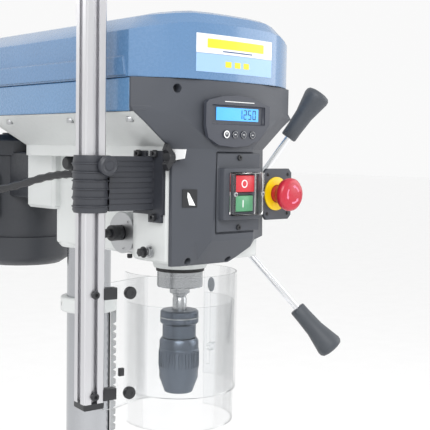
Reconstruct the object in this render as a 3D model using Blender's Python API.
"""Bench drill press: each separate piece is its own object.

Sizes are in millimetres and are turned into metres where a mesh is made.
+Z is up, the front faces -Y, and the column stands on the origin.
"""

import math

import bmesh
import bpy
from mathutils import Matrix, Vector

MM = 0.001
GAP = 0.3

# Overall sizes
HEAD_Z = 700.0
THROAT = 193.0
COLUMN_R = 30.0
COLUMN_BORE_R = COLUMN_R - 4.0
COLUMN_TOP = HEAD_Z + 236.0

# Base
BASE_HALF_X = 150.0
BASE_FRONT_Y = -345.0
BASE_BACK_Y = 125.0
BASE_TOP = 50.0
FLANGE_R = COLUMN_R + 32.0
FLANGE_TOP = 102.0

# Rack and table
RACK_ANGLE = -38.0
RACK_OUT_R = COLUMN_R + 8.0
RACK_HALF_WIDTH = 8.0
CRANK_GEAR_R = 12.0
CRANK_TEETH = 7
RACK_PITCH = 2 * math.pi * CRANK_GEAR_R / CRANK_TEETH
CRANK_DROP = 62.0
TABLE_TOP = 280.0
TABLE_HALF_X = 145.0
TABLE_HALF_Y = 135.0
TABLE_THICK = 20.0
TABLE_Y = -210.0
TILT_DROP = 45.0
TILT_Y = -146.0
TILT_R = 23.0
SLOT_X = 70.0

# Head casting
HEAD_HALF = 124.0
BODY_HALF = 72.0
NECK_HALF = 41.0
BODY_FRONT_Y = -THROAT - 63.0
FLARE_LOW = HEAD_Z + 206.0
TRAY_Z = HEAD_Z + 243.3
LID_Z = HEAD_Z + 280.0
CLAMP_R = COLUMN_R + 11.0

# Quill, spindle and chuck
QUILL_R = 28.0
QUILL_BOTTOM = HEAD_Z + 36.5
QUILL_TOP = HEAD_Z + 212.0
QUILL_TRAVEL = 80.0
SPINDLE_R = 12.0
SPLINE_R = 8.5
CHUCK_TOP = HEAD_Z + 7.5
CHUCK_BOTTOM = HEAD_Z - 94.0

# Feed
FEED_Z = HEAD_Z + 102.0
PINION_R = 11.5
FEED_Y = -THROAT + QUILL_R - 2.5 + PINION_R
SHAFT_R = 9.0
SPOKE_TILT = 24.7
SPOKE_FIRST = 65.7
SPOKE_LENGTH = 216.0
SPOKE_GRIP = 144.0
HUB_X = 111.0

# Emergency stop and height lock lever
ESTOP_X = 72.0
WING_Y = -THROAT - 69.0
WING_Z = HEAD_Z + 194.0

# Guard
POST_X = -151.0
POST_Y = -THROAT - 25.0
POST_SIDE = 25.0
POST_TURN = -7.0
POST_TOP = HEAD_Z + 395.0
POST_BOTTOM = HEAD_Z - 83.0
SLEEVE_R = 19.6
SLEEVE_LOW = HEAD_Z + 133.0
SLEEVE_HIGH = HEAD_Z + 195.0
GUARD_R = 70.0
GUARD_WALL = 2.4
GUARD_LOW = HEAD_Z - 86.0
GUARD_HIGH = HEAD_Z + 56.0

# Belt drive
BELT_STEPS = (48.0, 41.0, 34.0, 27.0)
STEP_HEIGHT = 16.0
PULLEY_Z = HEAD_Z + 256.0
IDLER_Y = -18.0
MOTOR_Y = 176.0
MOTOR_R = 71.0
MOTOR_LOW = HEAD_Z + 30.0
MOTOR_HIGH = HEAD_Z + 224.0

COLOURS = {
    "blue": ((0.12, 0.27, 0.48), 0.3, 0.2),
    "white": ((0.62, 0.64, 0.63), 0.45, 0.0),
    "charcoal": ((0.07, 0.075, 0.09), 0.5, 0.0),
    "black": ((0.015, 0.015, 0.017), 0.5, 0.0),
    "steel": ((0.55, 0.56, 0.58), 0.3, 1.0),
    "dark_steel": ((0.12, 0.13, 0.15), 0.35, 1.0),
    "chrome": ((0.75, 0.76, 0.78), 0.12, 1.0),
    "aluminium": ((0.72, 0.73, 0.76), 0.35, 1.0),
    "cast": ((0.30, 0.31, 0.31), 0.55, 0.6),
    "red": ((0.55, 0.02, 0.04), 0.35, 0.0),
    "green": ((0.12, 0.4, 0.25), 0.35, 0.0),
    "yellow": ((0.9, 0.68, 0.0), 0.4, 0.0),
    "screen": ((0.1, 0.5, 0.85), 0.2, 0.0),
    "clear": ((0.85, 0.88, 0.9), 0.05, 0.0),
    "rubber": ((0.02, 0.02, 0.02), 0.8, 0.0),
}


def clear_scene():
    for item in list(bpy.data.objects):
        bpy.data.objects.remove(item, do_unlink=True)


def material_for(name, kind):
    colour, roughness, metallic = COLOURS[kind]
    material = bpy.data.materials.new(name)
    material.use_nodes = True
    shader = material.node_tree.nodes["Principled BSDF"]
    shader.inputs["Base Color"].default_value = (*colour, 1.0)
    shader.inputs["Roughness"].default_value = roughness
    shader.inputs["Metallic"].default_value = metallic
    if kind == "clear":
        shader.inputs["Alpha"].default_value = 0.25
    return material


def mesh_object(name, points, faces, kind="steel"):
    """A closed mesh from points in millimetres, its faces turned outwards."""
    mesh = bpy.data.meshes.new(name)
    mesh.from_pydata([Vector(p) * MM for p in points], [], faces)
    work = bmesh.new()
    work.from_mesh(mesh)
    bmesh.ops.remove_doubles(work, verts=work.verts, dist=1e-6)
    bmesh.ops.recalc_face_normals(work, faces=work.faces)
    if work.calc_volume(signed=True) < 0:
        bmesh.ops.reverse_faces(work, faces=work.faces)
    work.to_mesh(mesh)
    work.free()
    item = bpy.data.objects.new(name, mesh)
    bpy.context.scene.collection.objects.link(item)
    mesh.materials.append(material_for(name, kind))
    return item


def axis_matrix(direction):
    """Turns local Z onto the given direction."""
    return Vector(direction).normalized().to_track_quat("Z", "Y").to_matrix().to_4x4()


def lathe(name, profile, centre=(0, 0, 0), axis=(0, 0, 1), steps=32, kind="steel", ring=False):
    """Turns (radius, height) points about an axis. A ring's profile is a closed loop."""
    turn = axis_matrix(axis)
    middle = Vector(centre)
    points = []
    rows = []
    for radius, height in profile:
        row = []
        count = 1 if radius < 1e-6 else steps
        for i in range(count):
            angle = 2 * math.pi * i / steps
            local = Vector((radius * math.cos(angle), radius * math.sin(angle), height))
            row.append(len(points))
            points.append(turn @ local + middle)
        rows.append(row)
    pairs = list(zip(rows, rows[1:]))
    if ring:
        pairs.append((rows[-1], rows[0]))
    faces = []
    for low, high in pairs:
        for i in range(steps):
            j = (i + 1) % steps
            if len(low) == 1 and len(high) == 1:
                continue
            if len(low) == 1:
                faces.append((low[0], high[i], high[j]))
            elif len(high) == 1:
                faces.append((low[i], low[j], high[0]))
            else:
                faces.append((low[i], low[j], high[j], high[i]))
    if not ring:
        for row, order in ((rows[0], -1), (rows[-1], 1)):
            if len(row) > 1:
                faces.append(tuple(row[::order]))
    return mesh_object(name, points, faces, kind)


def tube_ring(name, outer, inner, low, high, centre=(0, 0, 0), axis=(0, 0, 1), steps=32,
              kind="steel", edge=0.0):
    """A plain sleeve with its outer edges broken by the given amount."""
    profile = [(inner, low), (outer - edge, low), (outer, low + edge), (outer, high - edge)]
    profile += [(outer - edge, high), (inner, high)]
    if edge <= 0:
        profile = [(inner, low), (outer, low), (outer, high), (inner, high)]
    return lathe(name, profile, centre, axis, steps, kind, ring=True)


def loft(name, sections, kind="steel"):
    """Skins closed loops of equal length and caps both ends."""
    points = [p for section in sections for p in section]
    count = len(sections[0])
    faces = []
    for level in range(len(sections) - 1):
        start = level * count
        for i in range(count):
            j = (i + 1) % count
            faces.append((start + i, start + j, start + count + j, start + count + i))
    faces.append(tuple(range(count))[::-1])
    last = (len(sections) - 1) * count
    faces.append(tuple(range(last, last + count)))
    return mesh_object(name, points, faces, kind)


def prism(name, outline, low, high, kind="steel"):
    """An outline in the XY plane carried from one height to another."""
    return loft(name, [[(x, y, low) for x, y in outline], [(x, y, high) for x, y in outline]], kind)


def side_prism(name, outline, low, high, kind="steel"):
    """An outline of (y, z) points carried along X."""
    return loft(name, [[(low, y, z) for y, z in outline], [(high, y, z) for y, z in outline]], kind)


def front_prism(name, outline, low, high, kind="steel"):
    """An outline of (x, z) points carried along Y."""
    return loft(name, [[(x, low, z) for x, z in outline], [(x, high, z) for x, z in outline]], kind)


def box(name, x, y, z, kind="steel", edge=0.0, segments=1):
    points = [(i, j, k) for k in z for j in y for i in x]
    faces = [(0, 1, 3, 2), (4, 5, 7, 6), (0, 1, 5, 4), (2, 3, 7, 6), (0, 2, 6, 4), (1, 3, 7, 5)]
    item = mesh_object(name, points, faces, kind)
    if edge > 0:
        bevel(item, edge, segments)
    return item


def bevel(item, width, segments=1, smallest=30.0):
    """Breaks every edge sharper than the given angle."""
    work = bmesh.new()
    work.from_mesh(item.data)
    sharp = [e for e in work.edges if e.calc_face_angle(0.0) > math.radians(smallest)]
    bmesh.ops.bevel(work, geom=sharp, offset=width * MM, segments=segments, profile=0.5,
                    affect="EDGES", clamp_overlap=True)
    bmesh.ops.recalc_face_normals(work, faces=work.faces)
    work.to_mesh(item.data)
    work.free()


def turned(item, angle, axis="Z", centre=(0, 0, 0)):
    """Turns a mesh in place, in degrees about a line through a point."""
    middle = Matrix.Translation(Vector(centre) * MM)
    turn = Matrix.Rotation(math.radians(angle), 4, axis)
    item.data.transform(middle @ turn @ middle.inverted())
    return item


def moved(item, offset):
    item.data.transform(Matrix.Translation(Vector(offset) * MM))
    return item


def placed(item, direction, position):
    """Turns a mesh's own Z onto a direction and carries its origin to a position."""
    item.data.transform(Matrix.Translation(Vector(position) * MM) @ axis_matrix(direction))
    return item


def in_triangles(item):
    """Splits every face, so that the next Boolean has no bent or pierced ones."""
    work = bmesh.new()
    work.from_mesh(item.data)
    bmesh.ops.remove_doubles(work, verts=work.verts, dist=2e-7)
    bmesh.ops.triangulate(work, faces=work.faces)
    work.to_mesh(item.data)
    work.free()


def combine(item, others, operation):
    """One exact Boolean with each of the others, which are used up."""
    for other in others:
        in_triangles(item)
        in_triangles(other)
        modifier = item.modifiers.new("shape", "BOOLEAN")
        modifier.operation = operation
        modifier.solver = "EXACT"
        modifier.object = other
        graph = bpy.context.evaluated_depsgraph_get()
        mesh = bpy.data.meshes.new_from_object(item.evaluated_get(graph))
        item.modifiers.clear()
        item.data = mesh
        bpy.data.objects.remove(other, do_unlink=True)
    keep = item.data.materials[0]
    item.data.materials.clear()
    item.data.materials.append(keep)
    for face in item.data.polygons:
        face.material_index = 0
    return item


def cut(item, *others):
    return combine(item, others, "DIFFERENCE")


def add(item, *others):
    return combine(item, others, "UNION")


def rod(name, radius, start, end, steps=24, kind="steel", edge=0.0):
    """A round bar between two points."""
    span = Vector(end) - Vector(start)
    length = span.length
    profile = [(0, 0), (radius - edge, 0), (radius, edge), (radius, length - edge)]
    profile += [(radius - edge, length), (0, length)]
    if edge <= 0:
        profile = [(0, 0), (radius, 0), (radius, length), (0, length)]
    return lathe(name, profile, start, span, steps, kind)


def swept(name, path, radii, steps=12, kind="rubber"):
    """A round hose along a path, with one radius for each point of it."""
    points = []
    side = Vector((0, 0, 1))
    for index, (x, y, z) in enumerate(path):
        before = Vector(path[max(index - 1, 0)])
        after = Vector(path[min(index + 1, len(path) - 1)])
        along = (after - before).normalized()
        across = (side - along * side.dot(along)).normalized()
        other = along.cross(across)
        side = across
        for i in range(steps):
            angle = 2 * math.pi * i / steps
            reach = across * math.cos(angle) + other * math.sin(angle)
            points.append(Vector((x, y, z)) + reach * radii[index])
    loops = [points[i * steps:(i + 1) * steps] for i in range(len(path))]
    return loft(name, loops, kind)


def curve_through(knots, count):
    """Points along a smooth curve that passes through the knots."""
    found = []
    for i in range(len(knots) - 1):
        a = Vector(knots[max(i - 1, 0)])
        b = Vector(knots[i])
        c = Vector(knots[i + 1])
        d = Vector(knots[min(i + 2, len(knots) - 1)])
        for j in range(count):
            t = j / count
            point = 0.5 * (2 * b + (c - a) * t + (2 * a - 5 * b + 4 * c - d) * t * t
                           + (3 * b - a - 3 * c + d) * t ** 3)
            found.append(point)
    found.append(Vector(knots[-1]))
    return found


def mirrored(half):
    """Closes half an outline, given from front to back on the right, over the YZ plane."""
    return half + [(-x, y) for x, y in reversed(half) if x > 1e-6]


def arc(centre, radius, first, last, count):
    """Points on an arc, angles in degrees."""
    found = []
    for i in range(count + 1):
        angle = math.radians(first + (last - first) * i / count)
        found.append((centre[0] + radius * math.cos(angle), centre[1] + radius * math.sin(angle)))
    return found


def inset(outline, distance):
    """Moves each side of a closed outline inwards by the distance."""
    area = sum(a[0] * b[1] - b[0] * a[1] for a, b in zip(outline, outline[1:] + outline[:1]))
    turn = 1 if area > 0 else -1
    found = []
    count = len(outline)
    for i in range(count):
        before = Vector(outline[i - 1])
        here = Vector(outline[i])
        after = Vector(outline[(i + 1) % count])
        first = (here - before).normalized()
        second = (after - here).normalized()
        first_in = Vector((-first.y, first.x)) * turn
        second_in = Vector((-second.y, second.x)) * turn
        middle = (first_in + second_in).normalized()
        found.append(tuple(here + middle * (distance / max(middle.dot(first_in), 0.2))))
    return found


def smooth(item, angle=35.0):
    for face in item.data.polygons:
        face.use_smooth = True
    item.data.set_sharp_from_angle(angle=math.radians(angle))
    return item


def hinge_at(item, x, y, z):
    """Puts an object's origin on its joint without moving the shape."""
    point = Vector((x, y, z)) * MM
    item.data.transform(Matrix.Translation(-point))
    item.location = point
    return item


# Plan shapes of the head


def head_plan():
    """The lid's outline: a bowed front, straight sides and a rounded back."""
    y = -THROAT
    half = [
        (0, y - 94), (30, y - 93), (60, y - 90.5), (80, y - 85), (98, y - 75),
        (113, y - 65), (HEAD_HALF, y - 55), (HEAD_HALF, 120), (HEAD_HALF - 5, 160),
        (HEAD_HALF - 24, 208), (HEAD_HALF - 62, 240), (0, 250),
    ]
    return mirrored(half)


def lid_levels():
    """Loops for the lid from its lower edge to its roof."""
    y = -THROAT
    w = HEAD_HALF
    rows = [
        # outer x, outer y, shoulder height, inner x, inner y, roof height
        (0, y - 94, 342, 0, y - 79, 356),
        (30, y - 93, 342, 28, y - 78, 356),
        (60, y - 90.5, 341, 54, y - 75, 355.5),
        (80, y - 85, 339, 70, y - 67, 354),
        (98, y - 75, 336, 82, y - 54, 352.5),
        (113, y - 65, 333, 87, y - 44, 351.5),
        (w, y - 55, 330, w - 36, y - 32, 351),
        (w, 120, 330, w - 36, 108, 351),
        (w - 5, 160, 330, w - 39, 142, 351),
        (w - 24, 208, 330, w - 52, 182, 351),
        (w - 62, 240, 330, w - 78, 208, 351),
        (0, 250, 330, 0, 216, 352),
    ]
    rows = rows + [(-r[0], r[1], r[2], -r[3], r[4], r[5]) for r in reversed(rows) if r[0] > 0]
    lower = [(r[0], r[1], LID_Z) for r in rows]
    shoulder = [(r[0], r[1], HEAD_Z + r[2]) for r in rows]
    bend = []
    for r in rows:
        x = r[0] * 0.45 + r[3] * 0.55
        depth = r[1] * 0.45 + r[4] * 0.55
        bend.append((x, depth, HEAD_Z + r[2] * 0.22 + r[5] * 0.78))
    roof = [(r[3], r[4], HEAD_Z + r[5]) for r in rows]
    crown = [(r[3] * 0.55, r[4] * 0.6 - 8, HEAD_Z + r[5] + 2.5) for r in rows]
    return lower, shoulder, bend, roof, crown


# Base, column and table


def tee_slot(x, high, front, back):
    """A T slot's cutter along Y: a neck down from the given height and a wider foot."""
    outline = [(x - 12, high - 15), (x + 12, high - 15), (x + 12, high - 8.5), (x + 7, high - 8.5),
               (x + 7, high + 9), (x - 7, high + 9), (x - 7, high - 8.5), (x - 12, high - 8.5)]
    return front_prism("slot", outline, front, back)


def build_base():
    base = box("base", (-BASE_HALF_X, BASE_HALF_X), (BASE_FRONT_Y, BASE_BACK_Y), (0, 34),
               "cast", 4.0)
    pad = box("pad", (-BASE_HALF_X + 28, BASE_HALF_X - 28), (BASE_FRONT_Y + 20, -95),
              (20, BASE_TOP - 4), "cast", 3.0)
    boss = lathe("boss", [(0, 20), (FLANGE_R + 12, 20), (FLANGE_R + 4, BASE_TOP), (0, BASE_TOP)])
    add(base, pad, boss)
    cutters = []
    for x in (-SLOT_X, SLOT_X):
        cutters.append(tee_slot(x, BASE_TOP - 4, BASE_FRONT_Y - 10, -110))
    for x in (-BASE_HALF_X + 13, BASE_HALF_X - 13):
        for y in (BASE_FRONT_Y + 32, BASE_BACK_Y - 32):
            hole = [(x + 5.5 * c, y + d + 5.5 * s) for c, s, d in (
                (1, 0, 8), (0.7, 0.7, 8), (0, 1, 8), (-0.7, 0.7, 8), (-1, 0, 8),
                (-1, 0, -8), (-0.7, -0.7, -8), (0, -1, -8), (0.7, -0.7, -8), (1, 0, -8))]
            cutters.append(prism("hole", hole, -5, 60))
    return cut(base, *cutters)


def build_column():
    profile = [(COLUMN_R + GAP, BASE_TOP + GAP), (FLANGE_R, BASE_TOP + GAP)]
    profile += [(FLANGE_R, BASE_TOP + 13), (COLUMN_R + 15, BASE_TOP + 18)]
    profile += [(COLUMN_R + 11, FLANGE_TOP - 3), (COLUMN_R + 9, FLANGE_TOP)]
    profile += [(COLUMN_R + GAP, FLANGE_TOP)]
    flange = lathe("column_flange", profile, steps=28, kind="cast", ring=True)
    holes = []
    reach = FLANGE_R - 9
    for i in range(4):
        x, y = arc((0, 0), reach, 45 + 90 * i, 45 + 90 * i, 1)[0]
        holes.append(lathe("hole", [(0, 40), (4.2, 40), (4.2, 90), (0, 90)], (x, y, 0), steps=8))
    cut(flange, *holes)
    column = tube_ring("column", COLUMN_R, COLUMN_BORE_R, BASE_TOP + 1.0, COLUMN_TOP,
                       steps=36)
    return flange, smooth(column)


def build_rack():
    """A toothed bar beside the column, then turned round it."""
    low = FLANGE_TOP + 2.0
    high = HEAD_Z - 22.0
    root = RACK_OUT_R - 4.0
    outline = [(COLUMN_R + 0.8, high), (COLUMN_R + 0.8, low), (RACK_OUT_R, low)]
    first = low + 3.0 + (TABLE_TOP - CRANK_DROP - low - 3.0 - RACK_PITCH / 2) % RACK_PITCH
    count = int((high - first - 3.0) / RACK_PITCH)
    for i in range(count):
        z = first + RACK_PITCH * i
        for share, x in ((0.10, RACK_OUT_R), (0.32, root), (0.68, root), (0.90, RACK_OUT_R)):
            outline.append((x, z + share * RACK_PITCH))
    outline += [(RACK_OUT_R, high)]
    half = RACK_HALF_WIDTH
    sections = [[(x, y, z) for x, z in outline] for y in (-half, half)]
    rack = loft("column_rack", sections, "steel")
    back = lathe("back", [(0, low - 5), (COLUMN_R + GAP, low - 5), (COLUMN_R + GAP, high + 5),
                          (0, high + 5)], steps=36)
    cut(rack, back)
    turned(rack, RACK_ANGLE)
    ring = [(COLUMN_R + GAP, HEAD_Z - 20), (RACK_OUT_R, HEAD_Z - 20)]
    ring += [(RACK_OUT_R + 0.8, HEAD_Z - 19), (RACK_OUT_R + 0.8, HEAD_Z - 2)]
    ring += [(RACK_OUT_R - 0.6, HEAD_Z - 0.3), (COLUMN_R + GAP, HEAD_Z - 0.3)]
    collar = lathe("rack_collar", ring, steps=28, kind="white", ring=True)
    pocket = rod("pocket", 3.0, (COLUMN_R - 2, 0, HEAD_Z - 10), (RACK_OUT_R + 9, 0, HEAD_Z - 10), 12)
    turned(pocket, 160)
    cut(collar, pocket)
    return hinge_at(rack, 0, 0, low), hinge_at(smooth(collar), 0, 0, HEAD_Z - 10)


def crank_frame():
    """The crank shaft's centre and direction, beside the turned rack."""
    angle = math.radians(RACK_ANGLE)
    outwards = Vector((math.cos(angle), math.sin(angle), 0))
    along = Vector((-math.sin(angle), math.cos(angle), 0))
    reach = RACK_OUT_R - 2.0 + CRANK_GEAR_R
    centre = outwards * reach + Vector((0, 0, TABLE_TOP - CRANK_DROP))
    return centre, outwards, along


def build_table():
    high = TABLE_TOP
    low = TABLE_TOP - TABLE_THICK
    axle = TABLE_TOP - TILT_DROP
    front = TABLE_Y - TABLE_HALF_Y
    back = TABLE_Y + TABLE_HALF_Y
    table = box("table", (-TABLE_HALF_X, TABLE_HALF_X), (front, back), (low, high), "cast", 2.5)
    boss = rod("boss", TILT_R, (0, TILT_Y - 26, axle), (0, TILT_Y, axle), 28)
    web = box("web", (-17, 17), (TILT_Y - 24, TILT_Y - 2), (axle, low + 2))
    add(table, boss, web)
    hole = lathe("hole", [(0, low - 9), (12, low - 9), (12, high + 9), (0, high + 9)],
                 (0, -THROAT, 0), steps=20)
    slots = [tee_slot(x, high, front - 9, back + 9) for x in (-SLOT_X, SLOT_X)]
    cut(table, hole, *slots)
    return hinge_at(table, 0, TILT_Y, axle)


def build_table_bracket():
    centre, outwards, along = crank_frame()
    low = TABLE_TOP - 98
    high = TABLE_TOP - 28
    clamp = lathe("table_bracket", [(0, low), (45, low), (46.5, low + 2), (46.5, high - 2),
                                    (45, high), (0, high)], steps=28, kind="cast")
    axle = TABLE_TOP - TILT_DROP
    arm = box("arm", (-19, 19), (TILT_Y + 8, -30), (axle - 34, axle + 9), edge=2.0)
    face = rod("face", TILT_R, (0, TILT_Y + GAP, axle), (0, TILT_Y + 16, axle), 28)
    gear_box = rod("gear", 20, centre - along * 20, centre + along * 22, 24)
    add(clamp, arm, face, gear_box)
    bore = lathe("bore", [(0, low - 9), (COLUMN_R + GAP, low - 9), (COLUMN_R + GAP, high + 9),
                          (0, high + 9)], steps=32)
    slot = box("slot", (COLUMN_R - 6, RACK_OUT_R + 0.6),
               (-RACK_HALF_WIDTH - 0.5, RACK_HALF_WIDTH + 0.5), (low - 9, high + 9))
    turned(slot, RACK_ANGLE)
    well = rod("well", CRANK_GEAR_R + 3.2, centre - along * 9, centre + along * 9, 20)
    hole = rod("hole", 6.3, centre - along * 30, centre + along * 40, 16)
    split = box("split", (-60, -20), (8, 11), (low - 9, high + 9))
    cut(clamp, bore, slot, well, hole, split)
    return hinge_at(clamp, 0, 0, TABLE_TOP - CRANK_DROP)


def gear_outline(teeth, pitch_radius, addendum, dedendum, share=0.36):
    """Short straight-sided teeth with running clearance."""
    points = []
    step = 2 * math.pi / teeth
    root = pitch_radius - dedendum
    tip = pitch_radius + addendum
    for i in range(teeth):
        a = step * i
        for offset, radius in ((-0.5 * share - 0.10, root), (-0.5 * share + 0.07, tip),
                               (0.5 * share - 0.07, tip), (0.5 * share + 0.10, root)):
            angle = a + step * offset
            points.append((radius * math.cos(angle), radius * math.sin(angle)))
    return points


def build_table_crank():
    centre, outwards, along = crank_frame()
    shaft = lathe("table_crank", [(0, -26), (6, -26), (6, 49), (8, 49), (8, 60), (6, 64), (0, 64)],
                  steps=16, kind="steel")
    gear = prism("gear", gear_outline(CRANK_TEETH, CRANK_GEAR_R, 1.1, 2.2, 0.32), -8, 8)
    turned(gear, 180.0 / CRANK_TEETH)
    arm = box("arm", (-7, 7), (-8, 78), (49.5, 58.5))
    grip = lathe("grip", [(0, 53), (4.0, 53), (4.0, 67), (7.5, 69), (9.0, 81), (8.0, 103),
                          (5.5, 111), (0, 112)], (0, 68, 0), steps=14)
    add(shaft, gear, arm, grip)
    turn = Matrix((outwards, Vector((0, 0, 1)).cross(outwards) * 0 + Vector((0, 0, -1)), along))
    turn = turn.transposed().to_4x4()
    shaft.data.transform(Matrix.Translation(centre * MM) @ turn)
    return hinge_at(smooth(shaft), *centre)


# Head


def neck_plan():
    """The casting's lower body: wide round the quill and narrow back to the column."""
    y = -THROAT
    half = [
        (BODY_HALF - 4, BODY_FRONT_Y), (BODY_HALF, BODY_FRONT_Y + 6), (BODY_HALF, y - 8),
        (BODY_HALF - 4, y + 6), (BODY_HALF - 14, y + 18), (NECK_HALF + 3, y + 29),
        (NECK_HALF, y + 42), (NECK_HALF, 0), (NECK_HALF, 20),
    ]
    return mirrored(half)


def flare_sections():
    y = -THROAT
    rows = [
        # x and y at the foot of the flare, then at its top
        (BODY_HALF - 4, BODY_FRONT_Y, HEAD_HALF - 5, BODY_FRONT_Y),
        (BODY_HALF, BODY_FRONT_Y + 4, HEAD_HALF - 2, BODY_FRONT_Y + 3),
        (BODY_HALF, y - 10, HEAD_HALF - 2, y - 10),
        (BODY_HALF, 30, HEAD_HALF - 2, 60),
        (BODY_HALF - 10, 62, HEAD_HALF - 22, 104),
        (20, 66, 40, 112),
    ]
    foot = [(r[0], r[1], FLARE_LOW) for r in rows] + [(-r[0], r[1], FLARE_LOW) for r in rows[::-1]]
    high = TRAY_Z - GAP
    top = [(r[2], r[3], high) for r in rows] + [(-r[2], r[3], high) for r in rows[::-1]]
    lower = [(x, y, FLARE_LOW - 14) for x, y, z in foot]
    return [lower, foot, top]


def build_head_casting():
    y = -THROAT
    casting = prism("head_casting", neck_plan(), HEAD_Z + 74, FLARE_LOW - 10, "white")
    bevel(casting, 2.5, 1, 60.0)
    clamp = lathe("clamp", [(0, HEAD_Z + 69), (CLAMP_R - 3, HEAD_Z + 69), (CLAMP_R, HEAD_Z + 72),
                            (CLAMP_R, FLARE_LOW), (0, FLARE_LOW)], steps=32)
    flare = loft("flare", flare_sections())
    rear = box("rear", (-52, 52), (10, 78), (HEAD_Z + 120, FLARE_LOW), edge=4.0)
    nose = lathe("nose", [(0, HEAD_Z + 60), (QUILL_R + 4, HEAD_Z + 60), (QUILL_R + 5.5, HEAD_Z + 64),
                          (QUILL_R + 9, HEAD_Z + 80), (0, HEAD_Z + 80)], (0, y, 0), steps=32)
    left = rod("left", 23, (-NECK_HALF - 4.5, FEED_Y, FEED_Z), (0, FEED_Y, FEED_Z), 28)
    right = rod("right", 22, (0, FEED_Y, FEED_Z), (HUB_X - 17, FEED_Y, FEED_Z), 28, edge=1.5)
    add(casting, clamp, flare, rear, nose, left, right)
    reach = COLUMN_R + GAP
    column_bore = lathe("bore", [(0, HEAD_Z), (reach, HEAD_Z), (reach, COLUMN_TOP + 1),
                                 (0, COLUMN_TOP + 1)], steps=36)
    quill_bore = lathe("bore", [(0, HEAD_Z), (QUILL_R + GAP, HEAD_Z), (QUILL_R + GAP, QUILL_TOP + 4),
                                (19, QUILL_TOP + 4), (19, HEAD_Z + 300), (0, HEAD_Z + 300)],
                       (0, y, 0), steps=32)
    shaft_hole = rod("hole", SHAFT_R + GAP, (-100, FEED_Y, FEED_Z), (150, FEED_Y, FEED_Z), 20)
    well = rod("well", PINION_R + 2.6, (-13, FEED_Y, FEED_Z), (13, FEED_Y, FEED_Z), 20)
    slit = box("slit", (-2, 2), (24, 90), (HEAD_Z + 40, HEAD_Z + 119))
    light = lathe("light", [(0, HEAD_Z + 60), (6, HEAD_Z + 60), (6, HEAD_Z + 84), (0, HEAD_Z + 84)],
                  (-45, BODY_FRONT_Y + 20, 0), steps=16)
    recess = rod("recess", 26.4, (-120, FEED_Y, FEED_Z), (-NECK_HALF - 4.5, FEED_Y, FEED_Z), 28)
    cut(casting, column_bore, quill_bore, shaft_hole, well, slit, light, recess)
    return smooth(casting, 28)


def build_tray():
    """The open box under the lid that holds the belt drive."""
    front = -THROAT - 57.0
    back = [p for p in head_plan() if p[1] > front]
    right = [p for p in back if p[0] >= 0]
    left = [p for p in back if p[0] < 0]
    plan = [(HEAD_HALF, front)] + [p for p in right if p[1] > 0]
    plan += [p for p in left if p[1] > 0] + [(-HEAD_HALF, front)]
    low = TRAY_Z
    high = LID_Z - GAP
    tray = prism("belt_tray", inset(plan, 0.8), low, high, "blue")
    bevel(tray, 1.5, 1, 60.0)
    room = prism("room", inset(plan, 4.0), low + 3.5, high + 20)
    hub = lathe("hole", [(0, low - 5), (22, low - 5), (22, low + 9), (0, low + 9)],
                (0, -THROAT, 0), steps=32)
    shaft = lathe("hole", [(0, low - 5), (9.5, low - 5), (9.5, low + 9), (0, low + 9)],
                  (0, MOTOR_Y, 0), steps=24)
    tray = cut(tray, room, hub, shaft)
    stub = lathe("stub", [(0, low + 2), (22, low + 2), (22, low + 6.5), (11, low + 7), (11, low + 9),
                          (7.6, low + 9), (7.6, PULLEY_Z + 60), (0, PULLEY_Z + 60)],
                 (0, IDLER_Y, 0), steps=16)
    return add(tray, stub)


def build_lid():
    lower, shoulder, bend, roof, crown = lid_levels()
    lid = loft("belt_cover", [lower, shoulder, bend, roof, crown], "blue")

    def shrunk(loop, distance, drop):
        flat = inset([(x, y) for x, y, z in loop], distance)
        return [(x, y, p[2] - drop) for (x, y), p in zip(flat, loop)]

    start = [(x, y, z - 8) for x, y, z in shrunk(lower, 3.0, 0)]
    room = loft("room", [start, shrunk(shoulder, 3.0, 2), shrunk(bend, 2.0, 3),
                         shrunk(roof, 1.0, 3.4), shrunk(crown, 0.5, 3.2)])
    cut(lid, room)
    y = -THROAT
    for sign in (-1, 1):
        panel = side_prism("panel", [(y - 50, LID_Z + 2), (y - 47, HEAD_Z + 302), (100, HEAD_Z + 302),
                                     (104, LID_Z + 2)], HEAD_HALF - 2, HEAD_HALF + 1.6)
        if sign < 0:
            turned(panel, 180)
            moved(panel, (0, y - 50 + 104, 0))
        add(lid, panel)
    return hinge_at(smooth(lid, 24), 0, 250, LID_Z)


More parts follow.
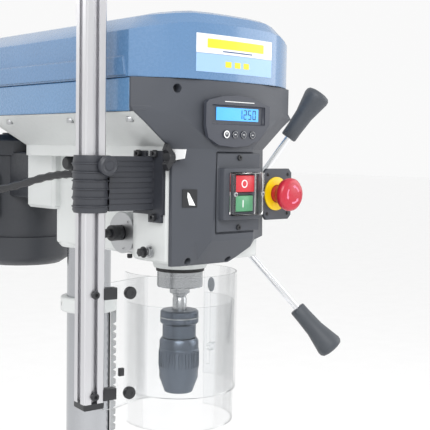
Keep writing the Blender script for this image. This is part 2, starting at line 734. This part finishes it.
def panel_sections():
    """Front panel loops from its lower edge to its top, right half first."""
    y = -THROAT
    back_low = BODY_FRONT_Y - GAP
    back_high = y - 57.3
    w = HEAD_HALF
    b = BODY_HALF
    rows = [
        # height, back y, then four (x, y) from the rear corner to the fold, then the middle
        (72, back_low, (b, y - 68), (62, y - 71), (34, y - 71.5), (18, y - 72), (0, y - 72)),
        (78, back_low, (b, y - 69), (62, y - 74), (40, y - 76), (20, y - 77), (0, y - 77)),
        (101, back_low, (b, y - 69), (47, y - 82), (33, y - 92), (16, y - 93), (0, y - 93)),
        (204, back_low, (b, y - 67), (46, y - 83), (28, y - 92.5), (14, y - 93), (0, y - 93.5)),
        (217, back_low, (b + 17, y - 66), (60, y - 82), (43, y - 91), (20, y - 93), (0, y - 94)),
        (232, back_low, (w - 16, y - 65), (86, y - 78), (66, y - 88), (32, y - 92.5), (0, y - 94)),
        (243, back_low, (w - 0.5, y - 65), (102, y - 71), (88, y - 80), (42, y - 91.5), (0, y - 94)),
        (243.6, back_high, (w - 0.5, y - 64), (104, y - 70), (88, y - 80), (42, y - 91.5), (0, y - 94)),
        (249, back_high, (w, y - 59.5), (104, y - 70.5), (88, y - 80), (42, y - 91.5), (0, y - 94)),
        (280, back_high, (w, y - 59.5), (104, y - 70.5), (88, y - 80), (42, y - 91.5), (0, y - 94)),
    ]
    sections = []
    for row in rows:
        z = HEAD_Z + row[0] - (GAP if row[0] == 280 else 0)
        back = row[1]
        right = [(row[2][0], back)] + list(row[2:6])
        loop = [(x, d, z) for x, d in right] + [(0, row[6][1], z)]
        loop += [(-x, d, z) for x, d in reversed(right)]
        sections.append(loop)
    return sections


def build_front_panel():
    y = -THROAT
    panel = loft("front_panel", panel_sections(), "charcoal")
    corner = front_prism("corner", [(12, HEAD_Z + 60), (12, HEAD_Z + 72), (47, HEAD_Z + 98),
                                    (90, HEAD_Z + 101), (90, HEAD_Z + 60)], y - 120, y - 62)
    cutters = [corner]
    cutters.append(box("well", (-28, 43), (y - 120, y - 90), (HEAD_Z + 108, HEAD_Z + 201), edge=1.0))
    cutters.append(rod("hole", 5.0, (-78, y - 100, HEAD_Z + 269), (-78, y - 72, HEAD_Z + 269), 20))
    for x in (-53.0, 8.0):
        hole = rod("hole", 4.2, (x, y - 94, HEAD_Z + 59), (x, y - 68, HEAD_Z + 83), 16)
        cutters.append(hole)
    cutters.append(rod("hole", 4.0, (-130, WING_Y, WING_Z), (-62, WING_Y, WING_Z), 12))
    cut(panel, *cutters)
    return smooth(panel, 20)


def build_display():
    face = -THROAT - 94.3
    z = HEAD_Z
    outline = [(-50, z + 229), (-46, z + 216), (-30, z + 208), (-6, z + 206), (14, z + 208),
               (34, z + 215), (50, z + 233), (50, z + 254), (24, z + 262), (0, z + 265),
               (-24, z + 263), (-46, z + 258), (-50, z + 254)]
    bezel = front_prism("display_bezel", outline, face, face - 4.5, "charcoal")
    opening = box("opening", (-41, 42), (face - 20, face - 1.5), (z + 231.5, z + 253), edge=1.0)
    cutters = [opening]
    centres = (-20.0, -6.5, 7.0, 21.0)
    for x in centres:
        cutters.append(rod("hole", 4.4, (x, face - 20, z + 220.5), (x, face + 9, z + 220.5), 12))
    cut(bezel, *cutters)
    screen = box("display_screen", (-33, 33), (face - 2.4, face - 1.8), (z + 236, z + 250.5), "screen")
    buttons = []
    for index, x in enumerate(centres):
        profile = [(0, 1.3), (4.0, 1.3), (4.0, 5.0), (3.3, 5.9), (0, 5.9)]
        name = "display_button_%d" % (index + 1)
        button = lathe(name, profile, (x, face, z + 220.5), (0, -1, 0), 12, "charcoal")
        buttons.append(hinge_at(smooth(button), x, face, z + 220.5))
    return bezel, screen, buttons


def build_switch():
    floor = -THROAT - 90.0
    z = HEAD_Z
    face = floor - 12.0
    body = box("switch_box", (-24, 35), (floor - 0.3, face), (z + 124, z + 183), "charcoal", 1.5, 2)
    plate = box("plate", (-26.5, 41.5), (floor - 0.3, floor - 3), (z + 110, z + 199.5), edge=0.8)
    add(body, plate)
    cutters = [box("well", (-13.5, 20.5), (face - 9, face + 9), (z + 155.2, z + 175.2))]
    cutters.append(box("well", (-13.5, 20.5), (face - 9, face + 9), (z + 132.8, z + 152.2)))
    for height in (z + 114.5, z + 194.5):
        cutters.append(rod("hole", 2.6, (7.5, floor - 9, height), (7.5, floor - 1.6, height), 14))
    cut(body, *cutters)
    stop = box("stop_button", (-13, 20), (face + 5, face - 4.0), (z + 155.7, z + 174.7), "red", 1.2, 2)
    start = box("start_button", (-13, 20), (face + 5, face - 2.0), (z + 133.3, z + 151.7), "green",
                1.2, 2)
    cover = box("switch_cover", (-17, 32), (face - 0.3, face - 9.0), (z + 129, z + 178.5), "clear", 2.0, 2)
    window = box("window", (-14.6, 24), (face + 5, face - 12), (z + 131.0, z + 176.5), edge=0.6)
    cut(cover, window)
    return (body, hinge_at(stop, 3.5, face, z + 165), hinge_at(start, 3.5, face, z + 142.5), cover)


def build_stop_switch():
    """The emergency stop on its plate beside the panel."""
    y = -THROAT
    z = HEAD_Z + 152.0
    front = y - 90.0
    outline = [(52, z - 25), (57, z - 31), (94, z - 31), (99, z - 26), (99, z + 25), (94, z + 30),
               (57, z + 30), (52, z + 25)]
    bracket = front_prism("estop_bracket", outline, front, front + 4.0, "charcoal")
    leg = box("leg", (73.0, 99), (front + 2, y - 62), (z - 26, z + 25), edge=1.0)
    room = box("room", (66.0, 96), (front + 4, y - 55), (z - 23, z + 22))
    add(bracket, leg)
    cut(bracket, room)
    cut(bracket, rod("hole", 10.4, (ESTOP_X, front - 9, z), (ESTOP_X, front + 9, z), 24))
    x = ESTOP_X
    ring = lathe("estop_ring", [(10.6, 0.3), (20, 0.3), (20, 1.6), (18.5, 2.4), (10.6, 2.4)],
                 (x, front, z), (0, -1, 0), 28, "yellow", ring=True)
    head = [(0, -10), (7, -10), (7, -1), (10, -1), (10, 10), (13.5, 12), (18.4, 18)]
    head += [(19.6, 22), (19.3, 25.5), (17.0, 28), (14, 28.6), (0, 28.4)]
    mushroom = lathe("estop_mushroom", head, (x, front, z), (0, -1, 0), 24, "red")
    return bracket, smooth(ring), hinge_at(smooth(mushroom), x, front, z)


def build_wing_knob():
    """The small black lever on a polished plate, on the panel's left flank."""
    knob = lathe("wing_knob", [(0, -9), (3.5, -9), (3.5, 0.6), (7.0, 0.6), (7.0, 7.5), (6, 9), (0, 9)],
                 steps=14, kind="black")
    wing = loft("wing", [[(-6, -3.5, 2), (6, -3.5, 2), (6, 3.5, 2), (-6, 3.5, 2)],
                         [(-4, -15, 9), (4, -15, 9), (4, -8, 12), (-4, -8, 12)]])
    other = loft("wing", [[(-6, -3.5, 2), (6, -3.5, 2), (6, 3.5, 2), (-6, 3.5, 2)],
                          [(-4, 8, 12), (4, 8, 12), (4, 15, 9), (-4, 15, 9)]])
    add(knob, wing, other)
    base = Vector((-BODY_HALF, WING_Y, WING_Z))
    placed(knob, (-1, 0, 0), base)
    return hinge_at(smooth(knob), *base)


# Quill and spindle


def build_quill():
    y = -THROAT
    low = QUILL_BOTTOM
    high = QUILL_TOP
    profile = [(16, low), (QUILL_R - 0.8, low), (QUILL_R, low + 0.8), (QUILL_R, high - 0.8)]
    profile += [(QUILL_R - 0.8, high), (16, high)]
    quill = lathe("quill", profile, (0, y, 0), steps=28, kind="steel", ring=True)
    pitch = 2 * math.pi * PINION_R / 12
    face = y + QUILL_R - 1.0
    root = face - 3.8
    outline = [(y + QUILL_R + 5, high - 8), (y + QUILL_R + 5, FEED_Z - 2.0 * pitch)]
    outline += [(face, FEED_Z - 2.0 * pitch)]
    count = int((high - 8 - FEED_Z + 2.0 * pitch) / pitch)
    for i in range(count):
        z = FEED_Z - 2.0 * pitch + pitch * i
        outline += [(face, z + 0.16 * pitch), (root, z + 0.30 * pitch), (root, z + 0.70 * pitch),
                    (face, z + 0.84 * pitch)]
    outline += [(face, high - 8)]
    teeth = side_prism("teeth", outline, -9, 9)
    cut(quill, teeth)
    seal = lathe("quill_seal", [(QUILL_R + 0.4, HEAD_Z + 55.5), (QUILL_R + 1.4, HEAD_Z + 55.5),
                                (QUILL_R + 2.0, HEAD_Z + 59.7), (QUILL_R + 0.4, HEAD_Z + 59.7)],
                 (0, y, 0), steps=24, kind="rubber", ring=True)
    return smooth(quill, 30), smooth(seal)


def build_spindle():
    y = -THROAT
    z = HEAD_Z
    profile = [(0, z + 88), (7.4, z + 86), (9.1, z + 27.5), (11.6, z + 27.5), (12.3, z + 28.3)]
    profile += [(12.3, QUILL_BOTTOM - GAP), (SPINDLE_R, QUILL_BOTTOM + 1), (SPINDLE_R, QUILL_TOP + 1)]
    profile += [(SPLINE_R, QUILL_TOP + 2), (SPLINE_R, z + 322), (SPLINE_R - 1, z + 323), (0, z + 323)]
    spindle = lathe("spindle", profile, (0, y, 0), steps=20, kind="steel")
    arbor = [(0, z - 12), (7.6, z - 12), (8.6, z + 6), (8.6, z + 21), (7.9, z + 22), (7.9, z + 24)]
    arbor += [(8.8, z + 25), (8.8, z + 28), (7.1, z + 84), (0, z + 84)]
    morse = lathe("chuck_arbor", arbor, (0, y, 0), steps=16, kind="steel")
    return (hinge_at(smooth(spindle), 0, y, z + 30), hinge_at(smooth(morse), 0, y, z + 20))


def jaw_frame(index):
    """A jaw's own line: down and inwards towards the chuck's nose."""
    angle = math.radians(90 + 120 * index)
    outwards = Vector((math.cos(angle), math.sin(angle), 0))
    slope = math.radians(16)
    along = (outwards * -math.sin(slope) + Vector((0, 0, -math.cos(slope)))).normalized()
    tip = Vector((0, -THROAT, 0)) + outwards * 7.4 + Vector((0, 0, CHUCK_BOTTOM + 3))
    return tip, along, outwards


def build_chuck():
    y = -THROAT
    z = HEAD_Z
    bottom = CHUCK_BOTTOM
    body = [(0, bottom + 1.5), (14.2, bottom + 1.5), (14.2, z - 26.4), (20.6, z - 26.4), (20.6, z - 11)]
    body += [(23.6, z - 8.0), (23.6, z - 2.4), (23.0, z - 1.7)]
    body += [(23.6, z - 1.0), (23.6, z + 5.0), (21.6, z + 7.0), (13, CHUCK_TOP), (0, CHUCK_TOP)]
    chuck = lathe("chuck_body", body, (0, y, 0), steps=24, kind="dark_steel")
    cutters = [lathe("socket", [(0, z - 14), (8.4, z - 14), (9.3, z + 12), (0, z + 12)], (0, y, 0), steps=16)]
    for index in range(3):
        tip, along, outwards = jaw_frame(index)
        cutters.append(rod("slot", 4.6, tip - along * 46, tip + along * 20, 10))
    cut(chuck, *cutters)
    shell = [(15.0, bottom), (17.4, bottom), (24.0, z - 76), (24.0, z - 67)]
    shell += [(24.6, z - 66), (24.6, z - 40.6), (24.1, z - 40), (24.1, z - 31), (21.6, z - 27.2)]
    shell += [(15.0, z - 27.2)]
    sleeve = lathe("chuck_sleeve", shell, (0, y, 0), steps=24, kind="dark_steel", ring=True)
    room = lathe("room", [(0, bottom + 6), (17.5, bottom + 6), (20.2, z - 70), (20.2, z - 34), (0, z - 34)],
                 (0, y, 0), steps=20)
    cut(sleeve, room)
    jaws = []
    for index in range(3):
        tip, along, outwards = jaw_frame(index)
        jaw = rod("chuck_jaw_%d" % (index + 1), 4.3, tip - along * 27, tip, 10, "steel", 0.8)
        jaws.append(hinge_at(smooth(jaw), *tip))
    return (hinge_at(smooth(chuck), 0, y, z - 20), hinge_at(smooth(sleeve), 0, y, z - 60), jaws)


# Feed


def build_feed():
    steps = 12
    left = -NECK_HALF - 46.0
    shaft = lathe("feed_shaft", [(0, left), (4.3, left), (5.3, left + 1), (5.3, -NECK_HALF - 21),
                                 (SHAFT_R, -NECK_HALF - 20), (SHAFT_R, HUB_X - 16),
                                 (7.5, HUB_X - 15.5), (7.5, HUB_X + 12), (0, HUB_X + 12)],
                  (0, FEED_Y, FEED_Z), (1, 0, 0), 18, "steel")
    gear = prism("gear", gear_outline(steps, PINION_R, 1.5, 2.4), -8, 8)
    turned(gear, 180.0 / steps)
    placed(gear, (1, 0, 0), (0, FEED_Y, FEED_Z))
    add(shaft, gear)
    hub_profile = [(7.8, HUB_X - 15), (17, HUB_X - 15), (18, HUB_X - 14), (18, HUB_X - 10)]
    hub_profile += [(22, HUB_X - 8), (23, HUB_X - 6), (22, HUB_X + 10), (19, HUB_X + 14)]
    hub_profile += [(7.8, HUB_X + 14)]
    hub = lathe("feed_hub", hub_profile, (0, FEED_Y, FEED_Z), (1, 0, 0), 22, "charcoal", ring=True)
    holes = []
    rods = []
    grips = []
    for index in range(3):
        angle = math.radians(SPOKE_FIRST - 120 * index)
        tilt = math.radians(SPOKE_TILT)
        along = Vector((math.sin(tilt), -math.cos(tilt) * math.cos(angle), math.cos(tilt) * math.sin(angle)))
        centre = Vector((HUB_X, FEED_Y, FEED_Z))
        holes.append(rod("hole", 4.8, centre + along * 12, centre + along * 40, 10))
        bar = rod("handle_rod_%d" % (index + 1), 4.5, centre + along * 12.6,
                  centre + along * (SPOKE_GRIP + 26), 16, "chrome", 0.5)
        rods.append(hinge_at(smooth(bar), *centre))
        span = SPOKE_LENGTH - SPOKE_GRIP
        shape = [(0, 30), (4.8, 30), (4.8, 0), (9.6, 0), (10.6, 1.5), (10.8, span * 0.2)]
        shape += [(12.0, span * 0.5), (15.8, span * 0.78), (17.2, span * 0.88), (16.8, span * 0.94)]
        shape += [(14.6, span * 0.98), (10, span), (0, span + 0.8)]
        grip = lathe("handle_grip_%d" % (index + 1), shape, centre + along * SPOKE_GRIP, along, 18,
                     "charcoal")
        grips.append(grip)
    cut(hub, *holes)
    for index, grip in enumerate(grips):
        hinge_at(smooth(grip), HUB_X, FEED_Y, FEED_Z)
    return hinge_at(smooth(shaft), 0, FEED_Y, FEED_Z), hinge_at(smooth(hub), HUB_X, FEED_Y, FEED_Z), rods, grips


def build_return_spring():
    left = -NECK_HALF - 4.8
    housing = lathe("spring_housing", [(22.4, 0), (24.6, 0), (24.6, 13.5), (22.4, 13.5)],
                    (left, FEED_Y, FEED_Z), (-1, 0, 0), 28, "steel", ring=True)
    cap = lathe("spring_cap", [(SHAFT_R + 0.3, 13.8), (24.2, 13.8), (25.2, 14.4), (25.2, 15.6),
                               (24.4, 16.6), (SHAFT_R + 0.3, 16.9)],
                (left, FEED_Y, FEED_Z), (-1, 0, 0), 28, "chrome", ring=True)
    nut = [(5.6, 17.6), (8.6, 17.6), (9.4, 18.6), (9.4, 23.4), (8.4, 24.2), (8.4, 25.2), (9.6, 26)]
    nut += [(9.6, 32), (8.8, 33), (5.6, 33)]
    spring_nut = lathe("spring_nut", nut, (left, FEED_Y, FEED_Z), (-1, 0, 0), 16, "black", ring=True)
    outer = []
    inner = []
    turns = 3.0
    count = 32
    for i in range(count + 1):
        angle = 2 * math.pi * turns * i / count
        radius = 11.6 + 9.6 * i / count
        outer.append(((radius + 0.4) * math.cos(angle), (radius + 0.4) * math.sin(angle)))
        inner.append(((radius - 0.4) * math.cos(angle), (radius - 0.4) * math.sin(angle)))
    coil = prism("return_spring", outer + inner[::-1], 1.5, 11.5, "dark_steel")
    placed(coil, (-1, 0, 0), (left, FEED_Y, FEED_Z))
    return smooth(housing), smooth(cap), hinge_at(smooth(spring_nut), left - 20, FEED_Y, FEED_Z), smooth(coil)


# Guard


def post_outline(side, groove=True):
    """A square bar with a T slot down the middle of each face."""
    half = side / 2
    quarter = [(half, 4.0), (half, half - 1.6), (half - 1.6, half), (4.0, half)]
    if groove:
        quarter = [(half - 5.2, 6.0), (half - 1.8, 6.0), (half - 1.8, 3.6), (half, 3.6),
                   (half, half - 1.6), (half - 1.6, half), (3.6, half), (3.6, half - 1.8),
                   (6.0, half - 1.8), (6.0, half - 5.2)]
    points = []
    for turn in range(4):
        c = math.cos(math.pi / 2 * turn)
        s = math.sin(math.pi / 2 * turn)
        points += [(x * c - y * s, x * s + y * c) for x, y in quarter]
    return points


def build_guard_post():
    outline = post_outline(POST_SIDE)
    post = prism("guard_post", outline, POST_BOTTOM + 7, POST_TOP - 7, "aluminium")
    half = POST_SIDE / 2
    for low, high in ((POST_BOTTOM, POST_BOTTOM + 8), (POST_TOP - 8, POST_TOP)):
        cap = box("cap", (-half, half), (-half, half), (low, high), edge=1.2)
        add(post, cap)
    turned(post, POST_TURN)
    moved(post, (POST_X, POST_Y, 0))
    return hinge_at(post, POST_X, POST_Y, HEAD_Z)


def build_guard_sleeve():
    low = SLEEVE_LOW
    high = SLEEVE_HIGH
    pitch = (high - low - 2.0) / 5
    profile = [(0, low), (SLEEVE_R - 1.4, low)]
    for i in range(5):
        z = low + 1.0 + pitch * i
        profile += [(SLEEVE_R - 1.2, z), (SLEEVE_R, z + 2.0)]
    profile += [(SLEEVE_R - 1.4, high), (0, high)]
    sleeve = lathe("guard_sleeve", profile, (POST_X, POST_Y, 0), steps=22, kind="charcoal")
    seat, direction = knob_frame()
    boss = rod("boss", 7.5, seat - direction * 8, seat, 16)
    add(sleeve, boss)
    half = POST_SIDE / 2 + GAP
    hole = box("hole", (-half, half), (-half, half), (low - 9, high + 9), edge=1.4)
    turned(hole, POST_TURN)
    moved(hole, (POST_X, POST_Y, 0))
    screw = rod("screw", 3.4, seat - direction * 12, seat + direction * 9, 12)
    cut(sleeve, hole, screw)
    return hinge_at(smooth(sleeve), POST_X, POST_Y, (low + high) / 2)


def build_guard_arm():
    """Runs straight out from the casting's flank to the sleeve that turns in its end."""
    y = -THROAT
    flank = -BODY_HALF - GAP
    low = SLEEVE_LOW + 1.0
    high = SLEEVE_HIGH - 1.0
    outline = [(flank, POST_Y - 15.5), (flank - 14, POST_Y - 15), (POST_X + 12, POST_Y - 11.5),
               (POST_X + 12, POST_Y + 13), (flank - 14, POST_Y + 18), (flank, POST_Y + 24)]
    arm = prism("guard_arm", outline, low, high, "charcoal")
    bevel(arm, 1.0, 1, 40.0)
    for i in range(5):
        z = low + 8.0 + 11.8 * i
        rib = prism("rib", [(flank - 6, POST_Y - 9), (flank - 6, POST_Y - 16.6),
                            (POST_X + 16, POST_Y - 13.2), (POST_X + 16, POST_Y - 6)], z, z + 5.2)
        add(arm, rib)
    front = BODY_FRONT_Y + 6
    back = y - 4
    foot = low - 5
    head = high + 1
    outline = [(front, foot), (front + 3, foot), (front + 3, foot - 9), (front + 25, foot - 9),
               (front + 25, foot), (back, foot), (back, head + 6), (back - 22, head + 6),
               (back - 22, head), (front + 23, head), (front + 23, head + 6), (front + 1, head + 6),
               (front + 1, head), (front, head)]
    plate = side_prism("plate", outline, flank - 4, flank + 0.05)
    add(arm, plate)
    seat = lathe("seat", [(0, low - 9), (SLEEVE_R + 0.4, low - 9), (SLEEVE_R + 0.4, high + 9), (0, high + 9)],
                 (POST_X, POST_Y, 0), steps=40)
    return cut(arm, seat)


def knob_frame():
    """The clamp screw's seat in front of the sleeve, and the way it points."""
    turn = math.radians(POST_TURN)
    direction = Vector((math.sin(turn), -math.cos(turn), 0))
    side = Vector((math.cos(turn), math.sin(turn), 0))
    seat = Vector((POST_X, POST_Y, HEAD_Z + 184)) + side * 7.5 + direction * (SLEEVE_R + 0.8)
    return seat, direction


def build_guard_knob():
    seat, direction = knob_frame()
    inner = POST_SIDE / 2 + 0.6 - SLEEVE_R - 0.8
    profile = [(0, inner), (3.0, inner), (3.0, 0.6), (8.5, 0.6), (10.8, 2.0), (11.4, 5.0), (10.8, 8.0)]
    profile += [(8.6, 9.4), (6.2, 8.2), (5.2, 8.2), (4.6, 9.0), (0, 9.2)]
    knob = lathe("guard_knob", profile, steps=18, kind="charcoal")
    placed(knob, direction, seat)
    return hinge_at(smooth(knob), *seat)


def build_guard_outer():
    y = -THROAT
    radius = GUARD_R
    inner = radius - GUARD_WALL
    first = 158.0
    last = 382.0
    count = 32
    outline = arc((0, y), radius, first, last, count) + arc((0, y), inner, last, first, count)
    shell = prism("guard_outer", outline, GUARD_LOW, GUARD_HIGH, "clear")
    turn = math.radians(POST_TURN)
    out = Vector((math.cos(turn), math.sin(turn)))
    side = Vector((-math.sin(turn), math.cos(turn)))
    post = Vector((POST_X, POST_Y))
    half = POST_SIDE / 2
    a = post + out * (half + GAP) + side * 9
    b = post + out * (half + GAP) - side * 8.5
    c = post + out * (half + GAP + 12) - side * 10
    outside = arc((0, y), radius - 0.4, 203, 203, 1)[0]
    inside = arc((0, y), radius - 1.6, 198, 198, 1)[0]
    tab = [tuple(a), tuple(b), tuple(c), (-radius - 11, y - 24.5), outside, inside,
           (-radius - 10.4, y - 21.9), tuple(c + Vector((0.4, 2.6))), tuple(b + out * 2.6 + side * 2.6),
           tuple(a + out * 2.6)]
    flange = prism("tab", tab, GUARD_LOW, GUARD_HIGH)
    add(shell, flange)
    far = math.radians(16.0)
    toward = Vector((math.cos(far), math.sin(far), 0))
    spot = Vector((0, y, 0)) + toward * radius
    slot = box("slot", (-9, 9), (-2.3, 2.3), (GUARD_LOW + 12, GUARD_HIGH - 30))
    turned(slot, 16.0)
    moved(slot, (spot.x, spot.y, 0))
    cut(shell, slot)
    return hinge_at(smooth(shell, 12), POST_X, POST_Y, HEAD_Z)


def build_guard_inner():
    y = -THROAT
    outer = GUARD_R - GUARD_WALL - 0.6
    inner = outer - 2.0
    first = 160.0
    last = 380.0
    count = 32
    outline = arc((0, y), outer, first, last, count) + arc((0, y), inner, last, first, count)
    shell = prism("guard_inner", outline, HEAD_Z - 126, HEAD_Z + 20, "clear")
    far = math.radians(16.0)
    toward = Vector((math.cos(far), math.sin(far), 0))
    spot = Vector((0, y, HEAD_Z - 52)) + toward * (outer - 1.0)
    stem = rod("stem", 1.9, spot, spot + toward * 6.5, 14)
    nut = rod("nut", 5.4, spot + toward * 5.2, spot + toward * 11.0, 20, edge=1.0)
    wing = box("wing", (6.0, 18.0), (-2.0, 2.0), (-4.5, 4.5), edge=0.8)
    turned(wing, 25.0, "X")
    turned(wing, 16.0)
    moved(wing, tuple(Vector((0, y, HEAD_Z - 52)) + toward * (outer - 1.0)))
    add(shell, stem, nut, wing)
    return hinge_at(smooth(shell, 12), 0, y, HEAD_Z)


# Belt drive and motor


def groove(profile, low, radius):
    """One belt step: a V groove between two short lands."""
    high = low + STEP_HEIGHT
    profile += [(radius, low + 2.2), (radius - 8.0, low + 5.4)]
    profile += [(radius - 8.0, high - 5.4), (radius, high - 2.2)]


def pulley(name, radii, centre, bore, foot, steps=16):
    profile = [(bore, foot), (bore + 7, foot), (bore + 7, PULLEY_Z), (radii[0], PULLEY_Z)]
    for index, radius in enumerate(radii):
        groove(profile, PULLEY_Z + STEP_HEIGHT * index, radius)
    top = PULLEY_Z + STEP_HEIGHT * len(radii)
    profile += [(radii[-1], top), (bore, top)]
    return lathe(name, profile, centre, (0, 0, 1), steps, "aluminium", ring=True)


def build_pulleys():
    y = -THROAT
    front = pulley("spindle_pulley", BELT_STEPS, (0, y, 0), SPLINE_R + 0.5, HEAD_Z + 222)
    middle = pulley("idler_pulley", BELT_STEPS[::-1], (0, IDLER_Y, 0), 8.3, PULLEY_Z - 3)
    rear = pulley("motor_pulley", BELT_STEPS, (0, MOTOR_Y, 0), 7.0, PULLEY_Z - 3)
    shaft = lathe("shaft", [(0, MOTOR_LOW + 16), (8, MOTOR_LOW + 16), (8, PULLEY_Z + 66), (0, PULLEY_Z + 66)],
                  (0, MOTOR_Y, 0), steps=16)
    add(rear, shaft)
    return [hinge_at(smooth(front, 30), 0, y, PULLEY_Z), hinge_at(smooth(middle, 30), 0, IDLER_Y, PULLEY_Z),
            hinge_at(smooth(rear, 30), 0, MOTOR_Y, PULLEY_Z)]


def belt(name, first_y, first_r, second_y, second_r, level):
    """A V belt round two pulleys whose centres lie on the YZ plane."""
    span = second_y - first_y
    low = PULLEY_Z + STEP_HEIGHT * level
    lean = math.degrees(math.asin((second_r - first_r) / span))

    def loop(offset):
        ra = first_r + offset
        rb = second_r + offset
        points = arc((0, first_y), ra, 180 + lean, 360 - lean, 10)
        points += arc((0, second_y), rb, -lean, 180 + lean, 10)
        return points

    points = []
    for offset, z in ((-7.4, low + 6.2), (1.0, low + 2.9), (1.0, low + 13.1), (-7.4, low + 9.8)):
        points += [(x, y, z) for x, y in loop(offset)]
    count = len(loop(0))
    faces = []
    for side in range(4):
        other = (side + 1) % 4
        for i in range(count):
            j = (i + 1) % count
            faces.append((side * count + i, side * count + j, other * count + j, other * count + i))
    return smooth(mesh_object(name, points, faces, "rubber"))


def build_motor():
    low = MOTOR_LOW
    high = MOTOR_HIGH
    profile = [(0, low), (MOTOR_R - 14, low), (MOTOR_R - 2, low + 8), (MOTOR_R, low + 14), (MOTOR_R, low + 42)]
    profile += [(MOTOR_R - 4, low + 43), (MOTOR_R - 4, high - 34), (MOTOR_R, high - 33), (MOTOR_R, high - 12)]
    profile += [(MOTOR_R - 16, high - 4), (30, high - 2), (30, high), (0, high)]
    motor = lathe("motor", profile, (0, MOTOR_Y, 0), steps=22, kind="charcoal")
    terminal = box("terminal", (-MOTOR_R - 26, -MOTOR_R + 12), (MOTOR_Y - 38, MOTOR_Y + 38),
                   (low + 70, low + 134), edge=3.0)
    foot = box("foot", (-48, 48), (79.0, MOTOR_Y - 40), (HEAD_Z + 132, HEAD_Z + 196), edge=2.0)
    add(motor, terminal, foot)
    bore = lathe("bore", [(0, low + 12), (8.4, low + 12), (8.4, high + 9), (0, high + 9)],
                 (0, MOTOR_Y, 0), steps=20)
    cut(motor, bore)
    return smooth(motor, 25)


def build_conduit():
    """The ribbed hose from the motor's terminal box to the head's left flank."""
    z = HEAD_Z
    start = (-MOTOR_R - 27.4, MOTOR_Y - 12, z + 148)
    knots = [start, (-MOTOR_R - 62, MOTOR_Y - 16, z + 146), (-136, 96, z + 138), (-112, 22, z + 150),
             (-96, -40, z + 165), (-84, -78, z + 170), (-62, -108, z + 168), (-NECK_HALF - 1.5, -110, z + 166)]
    path = curve_through(knots, 6)
    radii = []
    for index in range(len(path)):
        if index < 3 or index > len(path) - 4:
            radii.append(8.2)
        else:
            radii.append(5.4 if index % 2 else 4.3)
    return smooth(swept("conduit", path, radii, 8, "black"), 20)


def main():
    clear_scene()
    build_base()
    build_column()
    build_rack()
    build_table()
    build_table_bracket()
    build_table_crank()
    build_head_casting()
    build_tray()
    build_lid()
    build_front_panel()
    build_display()
    build_switch()
    build_stop_switch()
    build_wing_knob()
    build_quill()
    build_spindle()
    build_chuck()
    build_feed()
    build_return_spring()
    build_guard_post()
    build_guard_sleeve()
    build_guard_arm()
    build_guard_knob()
    build_guard_outer()
    build_guard_inner()
    build_pulleys()
    belt("front_belt", -THROAT, BELT_STEPS[1], IDLER_Y, BELT_STEPS[2], 1)
    belt("rear_belt", IDLER_Y, BELT_STEPS[0], MOTOR_Y, BELT_STEPS[3], 3)
    build_motor()
    build_conduit()


main()
